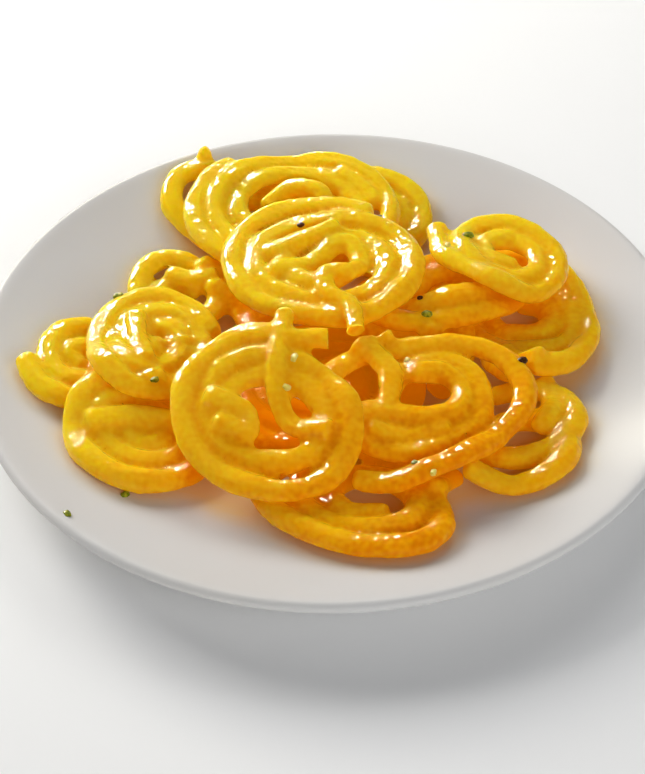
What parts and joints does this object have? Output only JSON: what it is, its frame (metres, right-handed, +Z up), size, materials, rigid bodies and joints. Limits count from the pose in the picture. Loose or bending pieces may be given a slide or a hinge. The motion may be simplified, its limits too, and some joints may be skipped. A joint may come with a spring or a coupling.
{
  "type": "plate of jalebi sweets",
  "caption": "Heap of coiled, syrup-glazed jalebi sweets on a round white porcelain plate, with a few pistachio chips and seeds.",
  "frame": {"origin": "middle of the plate's foot, on the table", "axes": "+Z up, +Y away from the person at the table, +X to their right"},
  "size_m": [0.26, 0.26, 0.0472],
  "materials": {
    "plate": "glossy white porcelain glaze",
    "jalebi_01": "translucent fried batter soaked in clear sugar syrup, wet and glossy",
    "jalebi_02": "translucent fried batter soaked in clear sugar syrup, wet and glossy",
    "jalebi_03": "translucent fried batter soaked in clear sugar syrup, wet and glossy",
    "jalebi_04": "translucent fried batter soaked in clear sugar syrup, wet and glossy",
    "jalebi_05": "translucent fried batter soaked in clear sugar syrup, wet and glossy",
    "jalebi_06": "translucent fried batter soaked in clear sugar syrup, wet and glossy",
    "jalebi_07": "translucent fried batter soaked in clear sugar syrup, wet and glossy",
    "jalebi_08": "translucent fried batter soaked in clear sugar syrup, wet and glossy",
    "jalebi_09": "translucent fried batter soaked in clear sugar syrup, wet and glossy",
    "jalebi_10": "translucent fried batter soaked in clear sugar syrup, wet and glossy",
    "jalebi_11": "translucent fried batter soaked in clear sugar syrup, wet and glossy",
    "jalebi_12": "translucent fried batter soaked in clear sugar syrup, wet and glossy",
    "jalebi_13": "translucent fried batter soaked in clear sugar syrup, wet and glossy",
    "jalebi_14": "translucent fried batter soaked in clear sugar syrup, wet and glossy",
    "jalebi_15": "translucent fried batter soaked in clear sugar syrup, wet and glossy",
    "jalebi_16": "translucent fried batter soaked in clear sugar syrup, wet and glossy",
    "jalebi_17": "translucent fried batter soaked in clear sugar syrup, wet and glossy"
  },
  "bodies": {
    "root": {"plate": "plate", "jalebi_01": "jalebi_01", "jalebi_02": "jalebi_02", "jalebi_03": "jalebi_03", "jalebi_04": "jalebi_04", "jalebi_05": "jalebi_05", "jalebi_06": "jalebi_06", "jalebi_07": "jalebi_07", "jalebi_08": "jalebi_08", "jalebi_09": "jalebi_09", "jalebi_10": "jalebi_10", "jalebi_11": "jalebi_11", "jalebi_12": "jalebi_12", "jalebi_13": "jalebi_13", "jalebi_14": "jalebi_14", "jalebi_15": "jalebi_15", "jalebi_16": "jalebi_16", "jalebi_17": "jalebi_17"}
  },
  "joints": []
}
